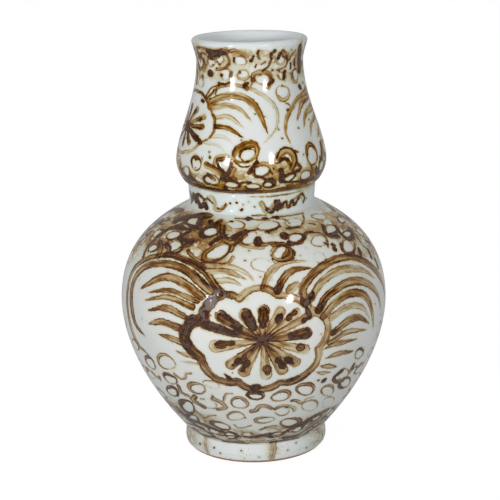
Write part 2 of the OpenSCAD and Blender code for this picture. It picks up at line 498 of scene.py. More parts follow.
def ring_stroke(centre, size, wide, load, coat, tilt=None, lean=None):
    """A ring, size = (across, up) in mm, with its fat side turned to lean, in degrees round it."""
    (a, z), = stray([centre])
    tilt = dice.uniform(-25, 25) if tilt is None else tilt
    lean = math.radians(dice.uniform(0, 360) if lean is None else lean)
    turn = lean + np.radians(170 + np.linspace(0, 378, 40))     # the ends overlap by 18 degrees
    r = 1 + OVAL * np.sin(2 * turn + dice.uniform(0, 6)) + EGG * np.sin(3 * turn + dice.uniform(0, 6))
    x, y = size[0] / 2 * r * np.cos(turn), size[1] / 2 * r * np.sin(turn)
    c, s = math.cos(math.radians(tilt)), math.sin(math.radians(tilt))
    x, y = c * x - s * y, s * x + c * y
    up = z + y / steep_at(z)
    line, at = smooth_line(np.stack([a + np.degrees(x / radius_at(up)), up], 1)[::3])
    fat = 0.5 + 0.5 * np.cos(turn[0] + at / at[-1] * (turn[-1] - turn[0]) - lean)
    brush(line, at, wide * (THIN_SIDE + FAT_SIDE * fat ** 1.5), load * (THIN_LOAD + FAT_LOAD * fat), coat)
    holes.append((a, z, size[0] / 2 - wide * OVER_WHITE, size[1] / 2 - wide * OVER_WHITE, tilt))


def dab(centre, size, load, coat, tilt=0.0):
    """A short fat touch of the brush, size = (long, wide) in mm."""
    (a, z), = stray([centre])
    steep = steep_at(z)
    half = max(size[0] - size[1], 0.6) / 2
    x, y = half * math.cos(math.radians(tilt)), half * math.sin(math.radians(tilt)) / steep
    bend = dice.uniform(-0.2, 0.2) * size[1] / steep
    x *= math.degrees(1 / radius_at(z))
    line, at = smooth_line([(a - x, z - y), (a, z + bend), (a + x, z + y)], FINE_STEP)
    pace, first_sway = waver(4, 9)
    brush(line, at, size[1] * (TOUCH + TOUCH_SWAY * np.sin(at / at[-1] * pace + first_sway)), load, coat)


def wash(centre, size, strength):
    """A thin patch of pigment, size = (across, up) in mm."""
    (a, z), = stray([centre])
    washes.append((a, z, size[0] / 2, size[1] / 2, strength))


# %% [markdown]
# ## The cartoon
# Lobed medallions with a flower in them, plumes that rise on both sides, and small
# rings on the rest are old ornaments of such vases. The painter puts the same group
# on the front and on the back. So the cartoon below holds one half of the vase, and
# it is painted twice, the second time half a turn on and a little looser. A place is
# whole degrees from the front and millimetres up. The strokes that the photograph
# shows were picked by eye in enlargements of it, and for many of them a separate
# script worked out the degrees and millimetres, and the size and lean of rings, from
# the picked points. The other strokes were placed one by one. The tables are written
# shortly: 3,146 is a place or a size, and a row ends with a semicolon.

# %% Read a written table
def read(text):
    """The rows of a table: ";" ends a row, "3,4" is a pair and "5" is a number."""
    rows = [[[float(n) for n in word.split(",")] for word in row.split()] for row in text.split(";")]
    return [[word if len(word) > 1 else word[0] for word in row] for row in rows]


def patches(text):
    """Thick touches, each as place, (long, wide), load, coat and lean."""
    for place, size, load, coat, tilt in read(text):
        dab(place, size, load, int(coat), tilt)


# %% Lobed panels
CUSPS, = read("-14,187 -6,184 10,186 24,170 27,132 24,110 11,101 -8,103 -23,126 -21,165")
BLUNT = 0.75            # below 1, so a lobe swells soon after its cusp
# How far each lobe swells in mm, the stroke's width in mm and its load.
LOBES = read("""
    1.5 6.8 .72; 8 7 .48; 4 7.2 .56; 13 8 .44; 4 8 .5; 4 8.6 .88; 8 8 .7; 10 9.2 .76; 17 12 1;
    4 10.5 1.08""")


def lobe_points(a, b, swell, r):
    """An arc from one cusp to the next that swells to the left of the way; r is the vase's radius."""
    a, b = np.array(a, float), np.array(b, float)
    wide = np.radians(1) * r
    d = (b - a) * [wide, 1]
    left = np.array([-d[1], d[0]]) / np.hypot(*d)
    t = np.linspace(0, 1, 7)[:, None]
    return a + (d * t + left * swell * np.sin(np.pi * t) ** BLUNT) / [wide, 1]


def panel(cusps, lobes, r, runs_on):
    """The frame of a flower. Where the brush runs on, each lobe ends as the next begins."""
    for k, (swell, wide, load) in enumerate(lobes):
        after = (k + 1) % len(lobes)
        arc_stroke(lobe_points(cusps[k], cusps[after], swell, r), wide, load, 0, tip="round",
                   end_load=(load + lobes[after][2]) / 2 if runs_on else None)


# %% Flowers
FLOWER = (3, 146)
DARKEST = 1.06          # with a load above this a tip is dark right across
CLUB = 0.9              # below 1, so a petal widens sooner
HEART, PALER, PALE_AT = 1.62, 0.85, 0.75        # load at the heart, what it loses, and how far out
DARK_WIDE, DARK_FADES = 0.66, 0.10      # width of a dark end, and the load that it loses on its way out
BLOT, SWELLS, WAVES = 0.62, 0.36, 0.30          # the shape of a dark end: its least width and what is added
ASIDE = (0.10, 0.20)    # how far it lies to one side, in widths of the petal
# Each petal: its tip, width of the tip in mm, load, load of its dark end, how far the dark runs in.
PETALS = read("""
    -23,161 11 .62 1.12 .56; -16,171 12 .56 1.12 .48; -5,175 13 .62 1.15 .52; 4,179 12 .46 1.12 .5;
    12,176 11 .46 1.05 .36; 19,172 9 .4 .98 .28; 25,168 9 .46 .84 .18; 24,150 12 .6 1.12 .34;
    23,132 11 .44 .93 .22; 19,118 11 .5 .97 .3; 13,110 12 .64 1 .36; 5,105 12 .42 .97 .28;
    -6,109 12 .52 .98 .34; -12,118 11 .68 1.03 .44; -19,138 13 .38 1.02 .4""")


def flower(centre, petals, narrow):
    """Club-shaped petals round a dark heart, narrow mm wide where they start."""
    for k, (tip, wide, load, dark, runs) in enumerate(petals):
        line, at = smooth_line(stray([centre, tip]), 1.2)
        at = at * (1 - wide / 2 / at[-1]) if at[-1] > wide else at
        line = line[0] + (line - line[0]) * (at[-1] / np.linalg.norm(line[-1] - line[0]))
        t = at / at[-1]
        brush(line, at, narrow + (wide - narrow) * t ** CLUB,
              load * (HEART - PALER * np.minimum(t / PALE_AT, 1)), k % COATS)
        inner = np.flatnonzero((t > 1 - runs) & (at < at[-1] - 0.4))
        if len(inner) < 2:
            continue
        s = np.linspace(0, 1, len(inner))
        pace, first_sway = waver(5, 11)
        blot = BLOT + SWELLS * np.sin(np.pi * s ** 0.7) + WAVES * np.sin(s * pace + first_sway)
        out = line[inner] * [1, 1, 0] / np.linalg.norm(line[inner][:, :2], axis=1)[:, None]
        sideways = np.cross(out, line[-1] - line[0])
        sideways *= (dice.choice([-1, 1]) * dice.uniform(*ASIDE) * wide
                     / np.linalg.norm(sideways, axis=1)[:, None])
        if dark > DARKEST:                          # even, broad and nearly in the middle
            blot, sideways = blot * 0.35 + 1.10, sideways * 0.1
        brush(line[inner] + sideways, at[inner], (narrow + (wide - narrow) * t[inner]) * DARK_WIDE * blot,
              dark - DARK_FADES * s, (k + 1) % COATS)
    dab(centre, (3 * narrow + 6, 2.6 * narrow), 1.0, 1, -35)
    dab((centre[0] - 2, centre[1] - 4), (6, 5), 1.05, 2, 20)
    dab((centre[0] + 2, centre[1] + 2), (5, 4), 0.9, 0, 60)


def big_medallion():
    panel(CUSPS, LOBES, 127.0, True)
    patches("-19,177 26,10 1.12 2 55; -26,164 16,8 1.12 2 20; -29,154 16,7 1.05 1 75; -11,186 7,5 .95 2 0;"
            "0,97 12,8 1.02 2 10; 17,104 14,5 1 2 25; -12,108 12,5 .98 2 -50")
    flower(FLOWER, PETALS, 2.6)


# %% Plumes: points, width, load, load at the start and at the end
LEFT_PLUME = read("""
    -14,189 -25,207 -46,213 -66,198 -70,172 -64,127 -53,114 4.6 .6 .98 .6;
    -18,189 -31,203 -45,206 -59,198 -65,178 -61,146 -53,135 5.4 .52 .75 .85;
    -22,184 -33,194 -44,195 -58,178 5.4 .5 .8 .55; -24,180 -38,185 -52,178 3.6 .5 .85 .4;
    -26,174 -39,179 -53,170 4 .48 .7 .38; -30,165 -39,169 -50,162 4.6 .62 .8 .55;
    -32,153 -41,155 -50,149 5.2 .58 .85 .5; -29,138 -36,141 -44,142 4.8 .62 .8 .5;
    -26,126 -35,129 3.6 .34 .4 .3; -24,119 -34,119 2.4 .16 .16 .12""")
RIGHT_PLUME = read("""
    21,178 22,192 32,204 46,208 60,201 73,178 80,150 5.6 .56 .75 .55;
    24,180 31,193 43,199 57,193 66,180 5.2 .37 .45 .22;
    27,169 33,181 45,187 57,181 66,164 69,146 5.4 .47 .98 .34;
    29,162 36,173 46,177 56,166 62,132 5.2 .49 .5 .42; 33,160 42,166 51,161 57,146 4.6 .27 .36 .18;
    34,145 42,153 49,152 57,141 5 .58 .9 .42; 32,136 42,142 56,136 4 .45 .62 .3""")
SMALL_PLUMES = read("""
    -23,210 -12,210 -4,206 1,197 4.2 .24 .4 .14; -22,205 -12,206 -3,200 4.4 .36 .3 .26;
    -16,198 -10,199 -5,195 4 .26 .24 .16; 4,193 8,206 15,212 28,211 4.4 .36 .45 .15;
    10,190 14,201 20,206 28,205 5 .66 1.02 .42; 15,189 20,196 5 .38 .45 .25""")
# Leaves are pointed at both ends: points, width and load.
LEAVES = read("""
    29,130 37,133 49,131 6 .52; 31,120 38,122 48,119 6.6 .56; 29,113 33,111 39,107 6.4 .5;
    27,108 30,105 36,103 4.6 .42; 33,121 40,123 46,121 2.4 .85""")


def feathers(rows, wider, fuller):
    """Long strokes in two coats by turns, all of them wider and fuller than typed."""
    for k, (*points, wide, load, first, last) in enumerate(rows):
        arc_stroke(points, wide * wider, load * fuller, 1 + k % 2, start_load=first, end_load=last)


def plumes():
    feathers(LEFT_PLUME + RIGHT_PLUME + SMALL_PLUMES, wider=1.5, fuller=1.16)
    for *points, wide, load in LEAVES:
        arc_stroke(points, wide, load, 2, start="sharp")
    patches("24,180 17,6.5 1.1 0 55; 22,172 14,5.5 1.08 2 -75; 29,171 12,5 1 0 50; -24,199 24,4 .98 0 145")


print("big medallion:", len(CUSPS), "lobes,", len(PETALS), "petals,",
      len(LEFT_PLUME + RIGHT_PLUME + SMALL_PLUMES + LEAVES), "feathers")

# %% The upper bulb: a smaller medallion and its plumes
BULB_CUSPS, = read("-95,350 -64,357 -43,345 -37,340 -34,321 -45,314 -62,302 -92,306")
BULB_LOBES = read("""
    3 3.2 .6; 4 3 .8; 1 3 .6; 3.5 3.2 .7; 1.5 2.2 .6; 3 3.8 .42; 4 3.4 .4; 6 3.4 .5""")
BULB_PETALS = read("""
    -73,346 6 .75 .95 .4; -57,344 7 .6 1 .35; -44,337 6.5 .55 1 .3; -43,327 6 .75 1 .4;
    -47,315 7 .85 1.08 .6; -57,309 6.5 .9 1 .4; -69,306 6 .88 1 .4; -83,309 6 .75 .98 .35;
    -93,319 6 .65 .95 .35; -97,332 6 .6 .95 .35; -88,344 6 .6 .95 .3""")
BULB_FEATHERS = read("""
    -47,353 -30,365 -10,366 10,359 24,345 22,328 9,314 3 .34 .55 .16;
    -41,350 -27,356 -8,356 5,347 12,330 14,322 5.6 .52 .62 .52;
    -38,345 -24,348 -10,345 2,333 4.4 .4 .36 .22; -31,337 -19,338 -5,328 3.8 .33 .28 .18;
    -31,329 -19,328 -6,320 4 .62 .95 .75; -34,320 -22,320 -13,313 3.2 .12 .12 .08;
    -40,314 -28,313 -20,307 3 .12 .12 .08; 80,357 52,350 36,338 30,324 33,310 4.2 .52 .6 .35;
    80,350 58,346 44,331 5.4 .72 .8 .4; 80,340 60,336 50,324 5.6 .66 .76 .35;
    80,331 64,326 56,314 4.4 .5 .6 .28; 82,322 67,312 3.6 .4 .5 .25""")


def bulb_motifs():
    panel(BULB_CUSPS, BULB_LOBES, 66, False)
    flower((-71, 326), BULB_PETALS, 1.8)
    feathers(BULB_FEATHERS, wider=1.25, fuller=0.88)
    patches("-45,314 9,5 1.1 2 -35; -53,350 8,4 1 2 -15")
    for rung in (-45, -40, -36):                    # the short ladder at its top
        dab((rung, 360), (6, 1.4), 0.75, 2, 70)
    arc_stroke([(-50, 353), (-44, 362), (-34, 366)], 1.8, 0.8, 2, tip="round")


print("bulb:", len(BULB_LOBES), "lobes,", len(BULB_PETALS), "petals,", len(BULB_FEATHERS), "feathers")

# %% Rings, band by band
# Each ring: place, size, width of the stroke, load, and where known its tilt and
# which side is fat, in degrees.
NECK_RINGS = read("""
    -33,390 10,9 2.4 .33; -66,386 12,16 3.5 .55; -26,376 12,10 2.4 .31; -10,389 12,9 2.4 .29;
    -7,376 10,9 3.2 .41 0 270; 14,371 14,10 2.7 .33; 34,388 9,8 2.4 .39; 55,372 10,12 4.1 .53 0 200;
    35,373 9,7 2.4 .35; 34,358 14,14 4.1 .42 0 270; -62,366 11,9 2.7 .33; -84,386 10,12 3.5 .55;
    76,386 9,11 4.1 .64; 86,371 10,11 3.2 .46; -82,370 9,10 3.2 .46; 69,359 9,9 3.2 .37; 23,389 8,7 2.2 .33;
    -44,386 9,8 2.2 .28""")
BULB_RINGS = read("""
    -4,306 22,15 6.6 .6 31 60; -3,305 15,11 2 .95 33 100; -4,306 28,21 1.8 .95 31 150;
    -46,294 13,13 3.6 .72 0 110; -32,280 17,11 3 .8 12 200; -15,277 14,8 2.4 .7; -58,284 12,10 3 .5;
    7,290 15,11 2.6 .6 10 250; 28,281 15,8 2.4 .62; 45,281 15,10 2.6 .6; 13,277 11,8 5 1.04 0 60;
    1,275 14,7 2.6 .75 0 270; 53,299 15,21 4.8 .72 0 95; 66,286 12,12 3.2 .6; 80,300 13,16 4 .62;
    82,281 13,9 3 .55; -72,290 12,12 3.2 .5; -84,281 13,10 3.2 .55; -90,297 12,14 3.6 .6""")
SHOULDER_RINGS = read("""
    -47,239 17,13 3.4 .95 -5 300; -28,234 18,13 5.2 .92 7 180; -19,220 24,16 5.6 .58 34 150;
    -20,220 29,20 1.6 .85 34 300; -68,224 18,10 3 .66; -53,227 17,11 2.8 .55; -45,220 18,13 2.8 .55;
    -61,214 14,9 3 .72; -12,240 18,10 2 .42; 11,239 21,12 2 .48 5 290; 31,239 19,12 2 .42;
    57,239 18,9 1.8 .32; 54,229 19,11 3.8 .74 18 240; 64,221 18,11 4 .82 4 300; 56,214 18,13 3 .55 8 180;
    39,224 18,12 1.8 .36; 26,229 16,10 3 .72 15 330; -2,231 17,12 2 .4 54 180; 34,212 13,11 1.8 .2;
    4,211 19,14 1.8 .18; 15,219 19,14 6 .64 10 300; 15,218 25,19 1.6 .9 10 290; -77,232 13,10 3 .62;
    -80,214 16,12 2.6 .5; 75,231 13,9 3 .58; 82,217 14,11 2.8 .5; -89,224 13,10 2.8 .5;
    88,203 16,12 2.6 .45; -83,196 16,13 2.6 .42; 84,187 16,13 2.4 .42; -87,178 16,13 2.6 .42;
    89,170 16,13 2.4 .42; -82,160 16,13 2.6 .45""")
LOW_RINGS = read("""
    -20,98 15,9 2.2 .32 -10 90; -25,74 19,13 1.8 .36; -8,78 16,14 4 .5 15 50; 0,87 15,9 5.4 .88 0 90;
    12,85 17,13 4.2 .54 3 56; 24,89 19,14 4.6 .58 -33 112; 38,81 20,12 3.4 .5 -43 130;
    30,67 21,14 2.4 .36 -42 112; 43,65 23,12 2 .2 -38 111; 14,66 15,12 2 .36; -11,61 16,13 3.2 .44 24 88;
    5,56 17,10 3.8 .52 8 162; -22,46 18,12 4.8 .64 -10 188; -18,33 13,12 4 .68 0 20; -6,36 10,7 2.8 .44;
    14,34 14,9 4 .72; 21,49 20,14 5.6 .68 -17 3; 29,37 12,10 4 .78; 40,47 12,10 4.8 .88 0 120;
    54,46 24,12 3.2 .6 -34 20; -28,91 18,13 5 .54 28 130; -40,64 22,16 5.6 .88 51 101;
    -42,48 19,11 4.8 .86 38 141; -42,114 26,15 3.8 .46 17 118; -55,106 18,13 3.8 .74 23 91;
    -43,95 17,12 4 .72 15 89; -46,79 18,12 4.4 .88 29 21; -61,90 16,13 2.6 .5; -66,118 15,12 3 .6;
    53,113 17,10 3.2 .72 -22 83; 45,96 17,12 1.8 .4 -40 90; 50,83 22,12 4.6 .88 -35 206;
    59,93 15,12 3.2 .64; 67,105 15,10 2.6 .46; -75,102 17,14 3 .5; -73,80 16,12 3.4 .6;
    -61,68 15,12 3.4 .62; -76,60 15,12 3.2 .56; -60,50 14,10 4 .76; -74,42 14,9 3.8 .7;
    -78,136 18,14 2.8 .45; -86,116 16,14 3 .5; -89,94 16,13 3 .5; -88,74 16,12 3.4 .6; -89,54 14,11 3.6 .66;
    -88,38 13,9 3.8 .7; 64,72 15,12 3.6 .6; 69,55 15,11 3.6 .66; 79,68 15,12 3.4 .6; 76,87 16,13 3.2 .56;
    80,108 16,14 3 .5; 71,127 16,13 2.8 .5; 82,132 17,14 2.8 .45; 89,150 16,13 2.6 .42; 62,37 14,9 3.8 .7;
    77,41 14,9 3.8 .7; -30,36 12,8 2.6 .5; 46,34 12,7 3 .6""")

# %% Touches, band by band: place, (long, wide), load and the degrees it leans
NECK_DABS = read("""
    -46,376 9,7 .98 -30; -31,375 5,3.4 .9 80; -20,376 8,4 1.02 80; -11,378 4,3 .9 30; -16,390 6,3 .85 80;
    -17,398 3,2.4 .95 0; 3,372 4.5,4 .95 0; 9,377 6,4 .92 0; 24,369 6,3.4 .85 70; 34,364 3.4,2 .95 50;
    61,361 7,6 1.06 0; 1,367 4,2.4 .6 60; 49,374 3.4,2.6 .95 0; 32,378 3,2 .9 80; 6,384 4.5,2.4 .7 60;
    24,390 2,2 .95 0; 24,379 2,2 .85 0; 47,396 1.8,1.6 .95 0; 25,397 7,4.6 .75 60; -59,372 3,3 1 0;
    -37,381 3,2.4 .7 0; -42,384 3,2.4 .8 0; -80,396 12,4 .8 0; 84,397 14,4 .8 0; 74,380 7,4 1 80""")
BULB_DABS = read("""
    -33,301 4,3.6 .98 30; -40,299 4,1.6 .6 -60; 17,292 4,3 .98 0; -2,279 6,4 .9 20; 57,285 5,4 .88 60;
    -46,299 6,5 1.04 0; -21,273 5,5 1 0; 38,304 2.6,2 1 0; -64,286 4,3 .8 60; 36,342 4,3 .6 60;
    38,347 6,2.4 .5 -30; 64,292 8,4 .95 80; 62,330 2,2 .9 0""")
SHOULDER_DABS = read("""
    -3,244 10,6 1.1 0; 10,244 9,4.5 1.06 0; 19,244 8,4 1.06 0; 3,229 14,9 1.14 86; 19,231 11,9 1.14 54;
    21,225 8,7 1.1 20; 46,217 10,6 1.02 75; 63,207 14,6.5 1.1 60; 72,201 13,6 1.1 70; 75,190 13,5.5 1.08 80;
    -16,242 5,3 .95 0; -16,233 4,2.6 1 30; -33,227 5,2.8 .92 60; 42,221 6,3 .85 -60; 44,236 8,2 .9 -30""")
LOW_DABS = read("""
    33,95 9,5.5 1.06 40; 30,97 4,3 .9 0; -6,60 4,1.8 .9 -70; -27,79 5,2 .6 0; 16,70 5,2 .7 0""")

# %% Loose strokes, band by band: points, width and load
NECK_LINES = read("""
    -46,396 -36,395 -24,398 7 1; -45,391 -37,392 -31,396 5 .92; -30,397 -24,394 -22,390 -22,386 3.4 .64;
    -23,385 -27,382 -37,380 3 .5; -36,387 -33,385 -30,387 2 .95;
    -67,389 -56,394 -49,391 -51,384 -59,377 2.6 .62; -61,392 -65,386 2.6 .95; -58,388 -55,384 2.8 .88;
    -66,398 -56,399 -49,399 3 .52; -66,395 -68,388 3 .95; -75,376 -73,364 3 .9;
    -33,367 -27,366 -21,368 3.4 .98; -3,368 -6,366 -3,363 3.4 .98; -19,398 -15,399 -10,397 -2,393 4.2 .46;
    7,395 9,398 8,394 10,390 2.2 .66; 1,389 4,393 2.6 .92; 25,397 22,394 22,388 20,383 13,379 2.8 .78;
    12,385 16,387 1.8 .55; 31,390 32,394 4 .96; 35,395 41,391 5.6 .64; 41,391 43,385 39,381 29,379 2.4 .56;
    45,387 53,395 3 .52; 55,387 55,381 2.8 .88; 48,384 48,379 2.4 .88; 61,398 66,388 65,376 6.6 1.08;
    30,374 33,370 38,369 2.2 .42; 37,371 39,377 3.4 .92;
    3,371 4,376 11,378 19,377 22,373 22,369 18,364 4.2 .56; 78,399 88,396 96,398 4 .7""")
BULB_LINES = read("""
    -26,300 -25,294 -19,287 -16,291 -15,297 -18,301 -26,300 3.6 .98;
    -29,295 -27,302 -19,304 -13,301 3.6 .42; -36,294 -30,292 -24,288 -19,285 5.6 .46;
    -34,296 -28,293 -22,289 1.6 .9; -13,292 -15,287 -17,284 5 .46; -34,285 -29,281 4.2 .96;
    -22,283 -18,282 -13,282 5 1.05; -14,281 -10,278 -7,279 -2,280 2.4 .82; -51,270 -46,269 3 1.06;
    -64,272 -50,271 -39,271 -30,270 -19,269 -2,269 4 .66; -6,270 3,269 14,269 26,271 41,272 57,275 4.6 .7;
    23,278 37,276 49,275 58,276 2.4 .96; 4,298 0,292 -2,289 4 .98; 4,295 8,297 14,296 18,292 3.6 .38;
    2,292 2,287 7,284 11,282 2.2 .9; 13,290 15,287 2.2 .78; 19,299 22,304 28,307 33,303 34,297 31,291 6 .56;
    19,301 24,309 32,308 36,300 34,292 1.6 .95; 21,298 25,300 28,298 30,293 3.2 1;
    23,282 27,284 32,286 36,287 39,289 37,293 33,294 3 .96; 22,289 23,280 5 1.02; 71,306 67,292 3.8 .98;
    50,289 52,285 1.8 .6; 33,307 38,304 1.6 .8; -72,290 -66,281 -58,274 5.4 .62;
    -54,280 -48,275 -42,273 4.6 .85; 58,281 67,279 78,283 4.6 .72; -90,288 -82,274 -70,272 4.6 .75;
    70,273 84,273 96,276 4.6 .75""")
SHOULDER_LINES = read("""
    -64,236 -58,240 -49,243 -45,244 -38,244 7 1.08; -44,243 -38,236 7 1.08;
    -66,222 -62,230 -56,233 -49,233 6 1; -43,232 -47,227 -41,226 -36,226 -41,220 5.4 .94;
    -56,234 -47,233 -38,236 3.6 .92; -65,205 -67,213 -66,219 3.6 .8; -59,219 -55,216 -53,210 6 .72;
    -53,220 -48,217 -49,212 4.6 .92; -24,239 -20,232 -14,228 -10,228 5.6 .54; -24,226 -22,229 -17,232 5 1;
    -20,239 -18,233 -14,231 -10,234 -5,236 3 .88; -12,222 -10,229 -5,235 5.4 .68;
    -45,215 -40,219 -36,225 4.8 .6; -36,219 -31,215 -26,212 3.6 .64; -33,241 -29,239 -25,242 5.2 1.08;
    -26,210 -19,211 -13,212 -10,217 4 .54; -6,234 -2,236 4,237 2.6 .76; -12,231 -8,233 -5,236 4.2 .88;
    -10,226 -7,230 -4,233 3.6 .64; -7,227 -3,225 5,224 3.8 .36; 8,235 14,236 19,238 2.2 .9;
    23,236 32,236 2.6 .9; 19,243 26,242 27,239 1.8 .55; 44,243 41,240 35,237 1.8 .5;
    22,225 27,225 31,228 34,231 39,231 3.2 .8; 38,231 44,229 45,224 42,218 2.2 .58;
    51,233 48,229 49,225 55,223 4.2 .86; 61,230 59,224 62,219 69,220 72,224 4 .88;
    52,218 50,213 53,208 59,209 63,214 3 .72; 72,219 70,211 72,205 2.6 .64;
    -14,244 -6,244 9,243 19,244 31,244 46,244 2.4 .42; 0,246 12,246 2.4 .6; 5,226 12,227 18,225 4.2 .6;
    11,225 17,226 18,221 15,216 3.8 .62; -84,221 -83,228 -74,234 4.2 .92; -81,210 -79,218 -80,222 4 .82;
    82,233 88,226 94,229 4.2 .8; 78,210 84,206 90,212 3.4 .62; -96,236 -86,240 -74,242 6 .95;
    -91,226 -84,231 -80,229 4 .7""")
LOW_LINES = read("""
    -21,85 -19,80 -16,79 -14,88 -11,89 2.2 .42; 18,78 21,77 24,72 4 .62; 24,72 26,77 30,78 2 .38;
    -2,68 0,69 2,74 5,74 8,71 4.8 .66; -35,61 -32,56 -30,54 -27,58 -23,60 2.4 .42;
    -13,49 -11,45 -7,46 -3,49 2 .34; 3,43 7,46 12,47 3.2 .56; -4,32 2,34 9,37 3.6 .78;
    -31,80 -33,75 -28,69 5.4 .68; -21,81 -17,77 -16,71 -20,68 4.8 .66; 10,70 14,73 20,69 21,65 4.2 .56;
    43,101 39,96 41,90 47,88 5 1.05; 51,102 50,95 4.6 1.02; 33,44 38,50 47,53 6.4 1;
    19,35 24,40 30,44 33,48 5.4 .92; 20,28 31,27 37,31 45,37 51,43 55,52 4 .82; 11,23 21,23 36,22 2.8 .85;
    -27,22 -15,23 -7,23 3.2 .95; -60,34 -43,36 -33,28 3.8 .88; -52,56 -49,47 -39,44 -32,41 -23,37 5 .95;
    -39,89 -39,82 -35,79 4.2 .72; -57,95 -54,90 -51,94 -52,88 2.6 .66;
    -39,103 -36,99 -33,101 -32,106 -29,108 2.8 .48; -57,51 -51,48 -49,42 -44,38 -39,36 4.4 .95;
    -57,27 -44,25 -33,26 3 .82; 52,97 54,99 57,96 62,98 2.4 .64; -70,30 -60,26 -50,31 3.6 .8;
    42,28 52,32 62,29 3.8 .82; -88,30 -78,33 -68,28 3.6 .8; 66,30 76,33 88,28 3.6 .8;
    -70,92 -66,96 -64,91 -61,95 2.4 .6; 64,85 68,80 71,84 74,79 2.4 .6; 70,116 74,120 77,115 80,119 2.2 .5;
    -84,104 -80,108 -78,103 2.4 .5; 60,60 66,63 72,61 4.4 .9; -72,53 -66,57 -60,55 4.4 .9;
    78,52 86,55 94,51 4.4 .85; -47,24 -46,16 -44,10 -43,6 5 .3; 13,25 14,17 13,11 12,7 6 .3;
    -78,23 -77,12 4.4 .26; 62,24 63,13 4.4 .26""")

# %% Specks of iron, place and size, and all that is scattered
SPECKS = read("""
    -8,141 2.2; 28,146 2; -3,184 1.2; 4,152 1.2; -54,152 1.6; -60,186 1.4; -42,200 1.2; 31,200 1.8;
    40,168 1.5; 3,202 1.6; 8,199 1.4; -2,222 1.5; 24,216 1.8; 62,158 1.8; -27,148 1.2; 20,185 1.4;
    -8,318 1.8; 24,326 1.8; 4,341 1.8; 1,346 1.6; 13,338 1.2; -6,313 1.8; 26,318 2; 43,301 2; -9,252 2.8;
    48,300 2; -52,12 2; -30,9 1.6; -12,14 1.6; 26,12 1.8; 44,9 1.6; 2,8 1.4; 34,17 2.2; -36,13 2.4;
    70,12 1.6; -75,9 1.6; 56,146 1.2; -18,168 1.2; -64,164 1.4; 70,142 1.4; 44,325 1.6; -34,306 1.6;
    60,347 1.4; 10,234 2.2; -4,215 1.8; 27,205 1.6; -46,290 1.4; 29,221 1.4; -15,260 1.8""")


WIDER = (0.95, 1.2)     # how wide a loose stroke comes out, in typed widths
WET, DRY = 1.08, (0.6, 1.0)             # its load at the start and at the end
SPECK_LOAD = 0.98


def scattered():
    """The rings, loose strokes, touches and specks of all bands."""
    for band in (NECK_RINGS, BULB_RINGS, SHOULDER_RINGS, LOW_RINGS):
        for k, (place, size, wide, load, *way) in enumerate(band):
            ring_stroke(place, size, wide, load, k % 2, *way)
    for band in (NECK_LINES, BULB_LINES, SHOULDER_LINES, LOW_LINES):
        for k, (*points, wide, load) in enumerate(band):
            arc_stroke(points, wide * dice.uniform(*WIDER), load, (2, 0, 1)[k % 3], tip="round",
                       start_load=load * WET, end_load=load * dice.uniform(*DRY))
    for band in (NECK_DABS, BULB_DABS, SHOULDER_DABS, LOW_DABS):
        for k, (place, size, load, tilt) in enumerate(band):
            dab(place, size, load, (k + 1) % COATS, tilt)
    for place, size in SPECKS:
        dab(place, (size, size * 0.9), SPECK_LOAD, 2)


# %% The collar: two worm-like strokes, dark over pale, and specks
COLLAR_LINES = read("""
    -74,258 -70,253 -66,259 -62,253 -58,258 5 1.08; -62,259 -55,261 -49,258 3.6 .95;
    -58,254 -53,250 -48,253 -45,250 5.4 1.1; -46,257 -38,261 -34,256 -36,251 -30,250 -24,255 4.4 .26;
    -49,256 -43,259 -37,255 2 .7; -32,251 -27,251 -24,256 1.8 .62; -76,260 -73,250 3.6 1;
    8,257 11,251 15,249 19,254 5.6 .34; 13,251 17,248 21,252 24,258 3.8 1.02; 21,258 26,253 22,250 4.4 1.08;
    27,251 31,257 34,250 38,257 41,252 46,258 2.8 1.02; 27,254 35,253 43,257 50,260 53,256 6 .24;
    46,258 50,261 55,256 53,252 2 .95""")
COLLAR_SPECKS = read("""
    -8,256 2; -14,258 2.8; 2,254 1.6; -3,259 1.4; -10,250.5 3.2; 58,255 2.6; -20,257 2.6""")
# Lines round the waist: place, length and load; and round the foot: place, length, width and load.
WAIST_LINES = read("""
    -40,270 130 .75; 38,269 100 .8; 10,267.6 130 .5; -62,273 60 .8; 60,273 50 .75; 24,263.5 60 .45;
    -10,268 80 .62""")
FOOT_LINES = read("""
    -20,32 60 2.6 .75; 15,34 50 2.8 .6; -52,30 50 2.6 .7; 52,34 46 2.6 .7; -4,23 70 2 .6; 24,25 46 2.2 .6;
    -40,24 50 2.4 .65; 70,24 50 2.2 .6""")


WAIST_WIDE = 2.4        # mm


def collar_and_foot():
    for k, (*points, wide, load) in enumerate(COLLAR_LINES):
        arc_stroke(points, wide, load, k % COATS, tip="round", end_load=load)
    for place, size in COLLAR_SPECKS:
        dab(place, (size, size), 1.05, 2)
    for (a, z), long, load in WAIST_LINES:
        half = math.degrees(long / 2 / radius_at(z))
        arc_stroke([(a - half, z + 0.5), (a, z), (a + half, z + 0.6)], WAIST_WIDE, load, 0, start="sharp")
    for (a, z), long, wide, load in FOOT_LINES:
        half = math.degrees(long / 2 / radius_at(z))
        arc_stroke([(a - half, z + 2), (a - half / 3, z - 1), (a + half / 3, z + 1), (a + half, z - 1)],
                   wide, load, 1, start="sharp")


